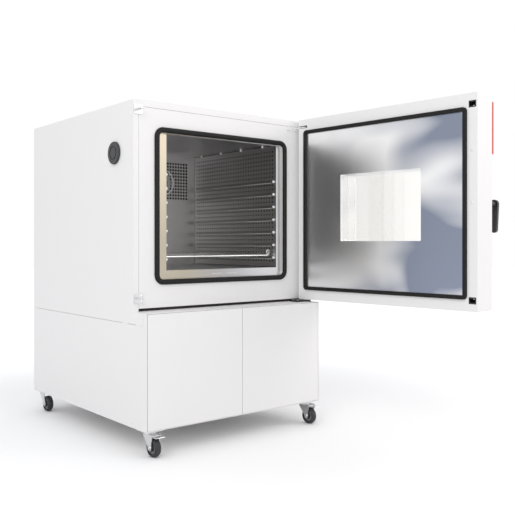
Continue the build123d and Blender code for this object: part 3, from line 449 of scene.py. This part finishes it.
def turned_rings(work, place, direction, profile, sides):
    """Rings of vertices round a direction, one for each radius and height of a profile."""
    turn = Vector((0, 0, 1)).rotation_difference(Vector(direction)).to_matrix().to_4x4()
    matrix = Matrix.Translation(place) @ turn
    angles = [2 * math.pi * i / sides for i in range(sides)]
    rings = []
    for radius, height in profile:
        points = [(radius * math.cos(a), radius * math.sin(a), height) for a in angles]
        rings.append([work.verts.new(matrix @ Vector(point)) for point in points])
    return rings


def join_rings(work, rings, closed):
    """Faces from each ring of vertices to the next, and from the last to the first if closed."""
    following = rings[1:] + rings[:1] if closed else rings[1:]
    for low, high in zip(rings, following):
        for i in range(len(low)):
            j = (i + 1) % len(low)
            work.faces.new((low[i], low[j], high[j], high[i]))
    if closed:
        bmesh.ops.recalc_face_normals(work, faces=work.faces[:])


def turned_pieces(name, places, direction, profile, look, body, sides=TURNED_SIDES):
    """One object of equal turned shapes at several places, closed at both ends."""

    def build(work):
        for place in places:
            rings = turned_rings(work, place, direction, profile, sides)
            join_rings(work, rings, closed=False)
            work.faces.new(list(reversed(rings[0])))
            work.faces.new(rings[-1])

    return make_piece(name, build, look, body, smooth=True)


def ring_piece(name, place, direction, profile, look, body, sides=RING_SIDES):
    """A turned ring from a closed loop of radii and heights."""

    def build(work):
        join_rings(work, turned_rings(work, place, direction, profile, sides), closed=True)

    return make_piece(name, build, look, body, smooth=True)


def dome(radius, height):
    """The profile of a low domed head."""
    return [(radius * wide, height * high) for wide, high in DOME]


def boxes(name, corners, look, body, turn=NO_TURN):
    """One object of plain boxes from pairs of corners, turned as asked."""

    def build(work):
        for a, b in corners:
            middle = [(a[k] + b[k]) / 2 for k in range(3)]
            size = [abs(b[k] - a[k]) for k in range(3)]
            matrix = turn @ Matrix.Translation(middle) @ Matrix.Diagonal((*size, 1.0))
            bmesh.ops.create_cube(work, size=1.0, matrix=matrix)

    return make_piece(name, build, look, body)


def grid_lines(size, field, pitch):
    """Lines across a sheet: its two edges, and an even grid in its field of holes."""
    length = field[1] - field[0]
    count = int(length / pitch)
    start = field[0] + (length - count * pitch) / 2
    return [size[0]] + [start + i * pitch for i in range(count + 1)] + [size[1]]


def perforated(name, to_world, size, field, pitch, radius, skip=None):
    """A flat sheet with a field of round holes. to_world takes (u, v, depth) to a place."""
    lines_u = grid_lines(size[0], field[0], pitch[0])
    lines_v = grid_lines(size[1], field[1], pitch[1])
    angles = [2 * math.pi * (i + 0.5) / HOLE_SIDES for i in range(HOLE_SIDES)]
    quarter = HOLE_SIDES // 4

    def build(work):
        seen = {}

        def point(u, v, side):
            """The sheet's vertex at a place, on its front side (0) or back side (1)."""
            key = (round(u, 7), round(v, 7), side)
            if key not in seen:
                seen[key] = work.verts.new(to_world(u, v, side * SHEET))
            return seen[key]

        def both_sides(outline):
            """The same flat face on the front side and on the back side."""
            work.faces.new([point(u, v, 0) for u, v in outline])
            work.faces.new([point(u, v, 1) for u, v in reversed(outline)])

        def cell(low, high):
            """One square of sheet round a hole."""
            u, v = (low[0] + high[0]) / 2, (low[1] + high[1]) / 2
            ring = [(u + radius * math.cos(a), v + radius * math.sin(a)) for a in angles]
            corners = [high, (low[0], high[1]), low, (high[0], low[1])]
            for k, corner in enumerate(corners):
                first = ring[k * quarter:(k + 1) * quarter]
                following = ring[(k + 1) * quarter % HOLE_SIDES]
                both_sides([corner] + list(reversed(first)))
                both_sides([corner, corners[(k + 1) % 4], following, first[-1]])
            for i in range(HOLE_SIDES):
                a, b = ring[i], ring[(i + 1) % HOLE_SIDES]
                work.faces.new((point(*a, 0), point(*b, 0), point(*b, 1), point(*a, 1)))

        def close_rim():
            """Closes the sheet's open edges between its two sides."""
            behind = {vertex: seen[u, v, 1] for (u, v, side), vertex in seen.items() if side == 0}
            for edge in [edge for edge in work.edges if len(edge.link_faces) == 1]:
                a, b = edge.verts
                if a in behind and b in behind:
                    work.faces.new((b, a, behind[a], behind[b]))

        for i in range(len(lines_u) - 1):
            for j in range(len(lines_v) - 1):
                low = (lines_u[i], lines_v[j])
                high = (lines_u[i + 1], lines_v[j + 1])
                middle = ((low[0] + high[0]) / 2, (low[1] + high[1]) / 2)
                if not (0 < i < len(lines_u) - 2 and 0 < j < len(lines_v) - 2):
                    both_sides([low, (high[0], low[1]), high, (low[0], high[1])])
                elif skip is None or not skip(*middle):
                    cell(low, high)
        close_rim()
        bmesh.ops.recalc_face_normals(work, faces=work.faces[:])

    return make_piece(name, build, "stainless", "cabinet")


def air_panels():
    """Perforated air panels left and right, with their folds and the bezel round the port."""
    low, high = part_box("air_panels")
    inner = high.x - DUCT_WIDTH
    low.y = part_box("inner_liner")[0].y + FLANGE_DEPTH + PANEL_FRONT_GAP
    high.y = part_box("rear_baffle")[0].y - PANEL_BACK_GAP
    size = ((low.y, high.y), (low.z, high.z))
    field = [(start + PANEL_MARGIN, end - PANEL_MARGIN) for start, end in size]

    def near_port(u, v):
        return math.dist((u, v), PORT_PLACE) < PORT_RADIUS + PORT_MARGIN

    made = []
    for side, name, skip in ((-1, "air_panel_left", near_port), (1, "air_panel_right", None)):
        made.append(perforated(
            name,
            lambda u, v, depth, side=side: (side * (inner + depth), u, v),
            size, field, PANEL_PITCH, PANEL_HOLE_RADIUS, skip,
        ))
    folds = []
    for side in (-1, 1):
        for y in (low.y, high.y - SHEET):
            folds.append(((side * inner, y, low.z), (side * high.x, y + SHEET, high.z)))
    made.append(boxes("air_panel_folds", folds, "stainless", "cabinet"))
    bezel = (
        (PORT_RADIUS, 0.0), (PORT_BEZEL, 0.0), (PORT_BEZEL, BEZEL_SHEET), (PORT_RADIUS, BEZEL_SHEET),
    )
    place = (-inner, *PORT_PLACE)
    made.append(ring_piece("port_bezel", place, (1, 0, 0), bezel, "stainless", "cabinet"))
    for piece in made:
        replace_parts(piece, "air_panels")


def baffle():
    """Perforated rear baffle in place of the plain one."""
    low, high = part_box("rear_baffle")
    sheet = perforated(
        "rear_baffle_sheet",
        lambda u, v, depth: (u, low.y + depth, v),
        ((low.x, high.x), (low.z, high.z)),
        (BAFFLE_FIELD_X, BAFFLE_FIELD_Z), BAFFLE_PITCH, BAFFLE_HOLE_RADIUS,
    )
    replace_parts(sheet, "rear_baffle")
    edges = []
    for x in (low.x, high.x - SHEET):
        edges.append(((x, low.y + SHEET, low.z), (x + SHEET, high.y, high.z)))
    folds = boxes("rear_baffle_folds", edges, "stainless", "cabinet")
    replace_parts(folds, "rear_baffle")


def ceiling_studs():
    """Small bright studs along the cavity's ceiling, by the right panel."""
    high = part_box("air_panels")[1]
    x = high.x - DUCT_WIDTH - STUD_FROM_PANEL
    places = [(x, y, high.z + PANEL_END_GAP) for y in STUD_PLACES_Y]
    profile = dome(STUD_RADIUS, STUD_HEIGHT)
    turned_pieces("ceiling_studs", places, (0, 0, -1), profile, "small_steel", "cabinet")


def rounded_loop(sides, levels, radius):
    """Points of a rounded rectangle in X and Z, counterclockwise."""
    points = []
    corners = (
        (sides[1] - radius, levels[0] + radius, -90),
        (sides[1] - radius, levels[1] - radius, 0),
        (sides[0] + radius, levels[1] - radius, 90),
        (sides[0] + radius, levels[0] + radius, 180),
    )
    for x, z, start in corners:
        for i in range(CORNER_STEPS + 1):
            angle = math.radians(start + 90 * i / CORNER_STEPS)
            points.append((x + radius * math.cos(angle), z + radius * math.sin(angle)))
    return points


def frame_ring(name, profile, look):
    """A ring round the cavity. Its profile is a loop of offsets from the seal's inner edge, and Y."""

    def build(work):
        loops = []
        for offset, y in profile:
            sides = (SEAL_SIDES[0] - offset, SEAL_SIDES[1] + offset)
            levels = (SEAL_LEVELS[0] - offset, SEAL_LEVELS[1] + offset)
            points = rounded_loop(sides, levels, SEAL_CORNER + offset)
            loops.append([work.verts.new((x, y, z)) for x, z in points])
        join_rings(work, loops, closed=True)

    return make_piece(name, build, look, "cabinet", smooth=True)


def cavity_ring():
    """Round-backed seal on the white frame, and the liner's edge inside it: a bright front ring, partly the hem's
    real edge and partly a painted highlight, then the plain hem.
    """
    low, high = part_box("cavity_seal")
    profile = []
    for i in range(SEAL_STEPS + 1):
        angle = math.pi * i / SEAL_STEPS
        rise = (high.y - low.y) * math.sin(angle) ** SEAL_FULLNESS
        profile.append((SEAL_WIDTH / 2 * (1 - math.cos(angle)), high.y - rise))
    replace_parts(frame_ring("cavity_seal_ring", profile, "seal_rubber"), "cavity_seal")
    # The liner's bright front ring is partly the hem's real edge and partly a painted highlight.
    hems = (
        ("liner_edge_highlight", EDGE_STARTS, EDGE_ENDS, "small_steel"),
        ("liner_hem", EDGE_ENDS, FLANGE_DEPTH, "stainless"),
    )
    near, far = HEM_GAP, HEM_GAP + HEM_THICKNESS
    for name, start, end, look in hems:
        front, back = high.y + start, high.y + end
        frame_ring(name, ((near, front), (far, front), (far, back), (near, back)), look)


def runner_nubs():
    """Bright rounded noses of the shelf runners, and painted highlights along their lower edges: thin bright
    strips.
    """
    low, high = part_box("shelf_runners")
    span = (RUNNER_COUNT - 1) * RUNNER_STEP
    first = low.z + (high.z - low.z - span) / 2
    places = []
    edges = []
    for i in range(RUNNER_COUNT):
        level = first + i * RUNNER_STEP
        for side in (-1, 1):
            places.append((side * (high.x - NUB_FROM_PANEL), low.y, level))
            # A thin bright strip along the runner's lower edge, as a painted highlight.
            x = side * (high.x - RUNNER_DEPTH)
            z = level - RUNNER_RISE
            far_corner = (x - side * RUNNER_HIGHLIGHT_WIDTH, high.y, z + RUNNER_HIGHLIGHT_HEIGHT)
            edges.append(((x, low.y + RUNNER_NOSE, z), far_corner))
    profile = ((NUB_RADIUS, 0.0), (NUB_RADIUS, NUB_STRAIGHT), (NUB_RADIUS * NUB_TIP, NUB_HEIGHT))
    turned_pieces("runner_nubs", places, (0, -1, 0), profile, "small_steel", "cabinet", NUB_SIDES)
    boxes("runner_edge_highlights", edges, "small_steel", "cabinet")


def shelf_hook():
    """Bent wire eye at the shelf's right front corner."""
    front_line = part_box("wire_shelf")[0].y + SHELF_ROD_RADIUS
    profile = []
    for i in range(HOOK_STEPS):
        angle = 2 * math.pi * i / HOOK_STEPS
        profile.append((HOOK_RADIUS + HOOK_WIRE * math.cos(angle), HOOK_WIRE * math.sin(angle)))
    place = (HOOK_PLACE[0], front_line, HOOK_PLACE[1])
    ring_piece("shelf_hook", place, HOOK_DIRECTION, profile, "small_steel", "shelf", HOOK_SIDES)


def drain_slot_highlights():
    """Painted highlights: bright bars standing in the two drain slots of the liner's front flange."""
    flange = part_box("inner_liner")[0].y + FLANGE_DEPTH
    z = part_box("rear_baffle")[0].z - DRAIN_DROP
    half_width, half_height = DRAIN_SIZE[0] / 2, DRAIN_SIZE[1] / 2
    bars = []
    for x in (-DRAIN_OFFSET, DRAIN_OFFSET):
        near_corner = (x - half_width, flange + DRAIN_DEPTHS[0], z - half_height)
        far_corner = (x + half_width, flange + DRAIN_DEPTHS[1], z + half_height)
        bars.append((near_corner, far_corner))
    boxes("drain_slot_highlights", bars, "small_steel", "cabinet")


def door_turn():
    """The turn about the hinge that takes the closed door to where it stands open."""
    hinge = next(joint["pos_m"] for joint in frame["joints"] if joint["name"] == "door_hinge")
    middle = Vector((hinge[0], hinge[1], 0.0))
    return Matrix.Translation(middle) @ Matrix.Rotation(OPEN_ANGLE, 4, "Z") @ Matrix.Translation(-middle)


def door_caps():
    """Two small white caps on the door's inner frame, at its free edge."""
    turn = door_turn()
    places = [turn @ Vector((*CAP_PLACE, z)) for z in CAP_LEVELS]
    direction = turn.to_3x3() @ Vector((0, 1, 0))
    turned_pieces("door_caps", places, direction, dome(CAP_RADIUS, CAP_HEIGHT), "white_paint", "door")


def screen_face():
    """Dark glass on the control panel's screen."""
    near_corner = (SCREEN_SIDES[0], SCREEN_DEPTH - SCREEN_SHEET / 2, SCREEN_LEVELS[0])
    far_corner = (SCREEN_SIDES[1], SCREEN_DEPTH + SCREEN_SHEET / 2, SCREEN_LEVELS[1])
    boxes("screen_face", [(near_corner, far_corner)], "screen_glass", "door", door_turn())


def screw_heads(name, places, direction):
    """Low domed screw heads on the cabinet."""
    profile = dome(SCREW_RADIUS, SCREW_HEIGHT)
    turned_pieces(name, places, direction, profile, "bright_steel", "cabinet")


def screws():
    """Screws of the catches, of the hinge brackets and of the back sheets."""
    low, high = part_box("door_catches")
    x, y = low.x + CATCH_SCREW_IN, high.y - CATCH_FACE
    levels = [low.z + end for end in CATCH_SCREW_ENDS] + [high.z - end for end in reversed(CATCH_SCREW_ENDS)]
    screw_heads("catch_screws", [(x, y, z) for z in levels], (0, -1, 0))
    low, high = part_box("hinge_bracket_top")
    y, z = high.y - HINGE_FACE, (low.z + high.z) / 2
    screw_heads("hinge_screws", [(low.x + step, y, z) for step in HINGE_SCREWS], (0, -1, 0))
    low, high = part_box("hinge_bracket_bottom")
    depths = (low.y + BRACKET_SCREW_IN, high.y - BRACKET_SCREW_IN)
    screw_heads("bracket_screws", [(low.x + BRACKET_SCREW_IN, y, high.z) for y in depths], (0, 0, 1))
    low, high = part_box("rear_panel")
    levels = (low.z + BACK_SCREW_LOW, high.z - BACK_SCREW_HIGH)
    places = [(x, high.y, z) for x in BACK_SCREWS_X for z in levels]
    places += [(x, high.y, z) for x in BASE_SCREWS_X for z in BASE_SCREWS_Z]
    screw_heads("back_screws", places, (0, 1, 0))


def wheel_cores():
    """Grey cores set in the castor wheels' recessed webs."""
    for end in ("front", "rear"):
        for side in ("left", "right"):
            low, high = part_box(f"castor_wheel_{end}_{side}")
            middle = (low + high) / 2
            radius = (high.z - low.z) / 2
            profile = (
                (radius * CORE_INNER, 0.0),
                (radius * CORE_OUTER, 0.0),
                (radius * (CORE_OUTER - CORE_BEVEL), CORE_SHEET),
                (radius * (CORE_INNER + CORE_BEVEL), CORE_SHEET),
            )
            reach = (high.x - low.x) / 2 - CORE_RECESS
            for sign in (-1, 1):
                face = "inner" if sign * middle.x < 0 else "outer"
                ring_piece(
                    f"wheel_core_{end}_{side}_{face}",
                    (middle.x + sign * reach, middle.y, middle.z), (sign, 0, 0),
                    profile, "wheel_core", f"{end}_{side}_wheel",
                )


def add_camera():
    """The camera at the photograph's viewing angle."""
    data = bpy.data.cameras.new("camera")
    data.lens = CAMERA_LENS
    data.shift_y = CAMERA_SHIFT_UP
    camera = bpy.data.objects.new("camera", data)
    camera.location = CAMERA_PLACE
    camera.rotation_euler = (math.radians(90.0), 0.0, math.radians(-CAMERA_YAW))
    bpy.context.scene.collection.objects.link(camera)
    bpy.context.scene.camera = camera


def add_lamp(name, place, target, power, size, colour):
    """A large soft area lamp aimed at a place."""
    data = bpy.data.lights.new(name, "AREA")
    data.shape = "SQUARE"
    data.size = size
    data.energy = power
    data.color = colour
    lamp = bpy.data.objects.new(name, data)
    lamp.location = place
    lamp.rotation_euler = (Vector(target) - Vector(place)).to_track_quat("-Z", "Y").to_euler()
    bpy.context.scene.collection.objects.link(lamp)


def any_plain_ray(tree):
    """1 for camera, glossy and transmission rays."""
    rays = add_node(tree, "ShaderNodeLightPath").outputs
    plain = combine(tree, "MAXIMUM", rays["Is Camera Ray"], rays["Is Glossy Ray"])
    return combine(tree, "MAXIMUM", plain, rays["Is Transmission Ray"])


def end_tree(tree, kind, lighting, seen):
    """Ends a tree in an output: one shader as light on the object, and another as it is seen."""
    output = add_node(tree, kind)
    mix = add_node(tree, "ShaderNodeMixShader")
    for place, socket in enumerate((any_plain_ray(tree), lighting, seen)):
        tree.links.new(socket, mix.inputs[place])
    tree.links.new(mix.outputs[0], output.inputs["Surface"])


def add_world():
    """White surroundings: white to the eye, and a little less as light on the object."""
    world = bpy.data.worlds.new("world")
    bpy.context.scene.world = world
    world.use_nodes = True
    tree = world.node_tree
    tree.nodes.clear()
    lighting = add_node(tree, "ShaderNodeBackground", Color=SKY_COLOUR, Strength=SKY_ON_OBJECT)
    seen = add_node(tree, "ShaderNodeBackground", Color=WHITE, Strength=1.0)
    end_tree(tree, "ShaderNodeOutputWorld", lighting.outputs[0], seen.outputs[0])


def add_floor():
    """White floor that keeps the object's soft shadow, and glows a little far from it."""
    bpy.ops.mesh.primitive_plane_add(size=FLOOR_SIZE)
    floor = bpy.context.object
    floor.name = "floor"
    material = bpy.data.materials.new("floor_white")
    material.use_nodes = True
    tree = material.node_tree
    tree.nodes.clear()
    lighting = add_node(tree, "ShaderNodeBsdfDiffuse", Color=FLOOR_COLOUR)
    matte = add_node(tree, "ShaderNodeBsdfDiffuse", Color=WHITE)
    glow = add_node(tree, "ShaderNodeEmission")
    distance = add_node(tree, "ShaderNodeVectorMath")
    distance.operation = "LENGTH"
    tree.links.new(object_place(tree), distance.inputs[0])
    reach = (GLOW_STARTS, GLOW_FULL)
    strength = spread(tree, distance.outputs["Value"], reach, (0.0, FLOOR_GLOW), "SMOOTHSTEP")
    tree.links.new(strength, glow.inputs["Strength"])
    seen = add_node(tree, "ShaderNodeAddShader")
    tree.links.new(matte.outputs[0], seen.inputs[0])
    tree.links.new(glow.outputs[0], seen.inputs[1])
    end_tree(tree, "ShaderNodeOutputMaterial", lighting.outputs[0], seen.outputs[0])
    floor.data.materials.append(material)


dress_nodes()
air_panels()
baffle()
ceiling_studs()
cavity_ring()
runner_nubs()
shelf_hook()
drain_slot_highlights()
door_caps()
screen_face()
screws()
wheel_cores()
add_camera()
add_world()
add_floor()
add_lamp(
    "key_lamp", place=(-3.2, -3.0, 3.4), target=(0.0, -0.2, 0.7),
    power=60.0, size=3.0, colour=(1.0, 0.985, 0.96),
)
add_lamp(
    "fill_lamp", place=(2.6, -3.6, 2.4), target=(0.0, -0.4, 0.8),
    power=34.0, size=2.5, colour=(1.0, 0.93, 0.88),
)

bpy.context.scene.view_settings.view_transform = "Standard"
